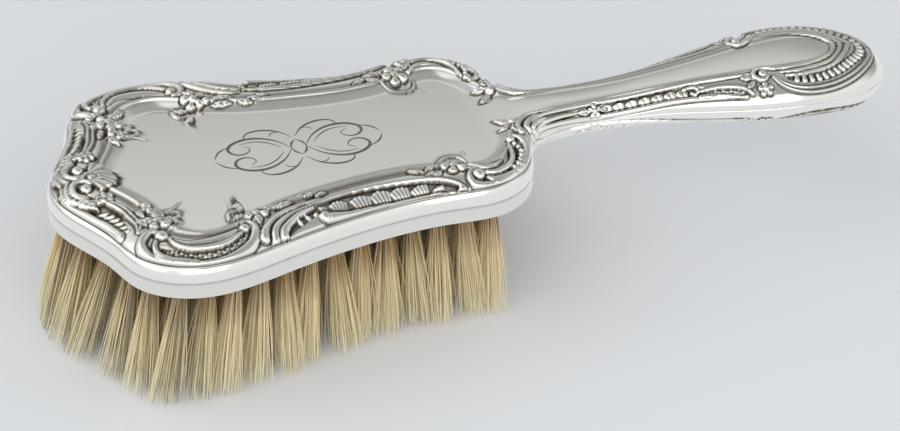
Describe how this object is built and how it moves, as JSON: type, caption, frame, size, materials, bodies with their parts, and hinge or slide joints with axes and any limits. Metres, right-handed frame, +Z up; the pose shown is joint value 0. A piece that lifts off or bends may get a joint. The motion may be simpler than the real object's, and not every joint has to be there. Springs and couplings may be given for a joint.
{
  "type": "hairbrush",
  "caption": "Silver-backed vanity hairbrush with a shaped head, a sunk plain field inside an ornamental border, drawn bristle tufts in a wooden block and a hollow swelling handle",
  "frame": {"origin": "middle of the bounding box at the level of the bristle tips, which the brush stands on", "axes": "+X from the head towards the end of the handle, Y across the brush, +Z up from the bristle tips to the silver back"},
  "size_m": [0.2454, 0.0946, 0.0467],
  "materials": {
    "silver": "polished, darkened in the recesses of the relief",
    "pitch": "cast pitch cement",
    "steel": "drawn steel",
    "wood": "oiled hardwood",
    "bristle": "undyed bristle",
    "wire": "drawn brass wire"
  },
  "bodies": {
    "root": {"silver_back": "silver", "handle_under_shell": "silver", "head_filling": "pitch", "handle_filling": "pitch", "stiffening_rod": "steel", "bristle_block": "wood", "bristle_row_01": "bristle", "bristle_row_02": "bristle", "bristle_row_03": "bristle", "bristle_row_04": "bristle", "bristle_row_05": "bristle", "bristle_row_06": "bristle", "bristle_row_07": "bristle", "bristle_row_08": "bristle", "bristle_row_09": "bristle", "bristle_row_10": "bristle", "bristle_row_11": "bristle", "draw_wire_01": "wire", "draw_wire_02": "wire", "draw_wire_03": "wire", "draw_wire_04": "wire", "draw_wire_05": "wire", "draw_wire_06": "wire", "draw_wire_07": "wire", "draw_wire_08": "wire", "draw_wire_09": "wire", "draw_wire_10": "wire", "draw_wire_11": "wire"}
  },
  "joints": []
}
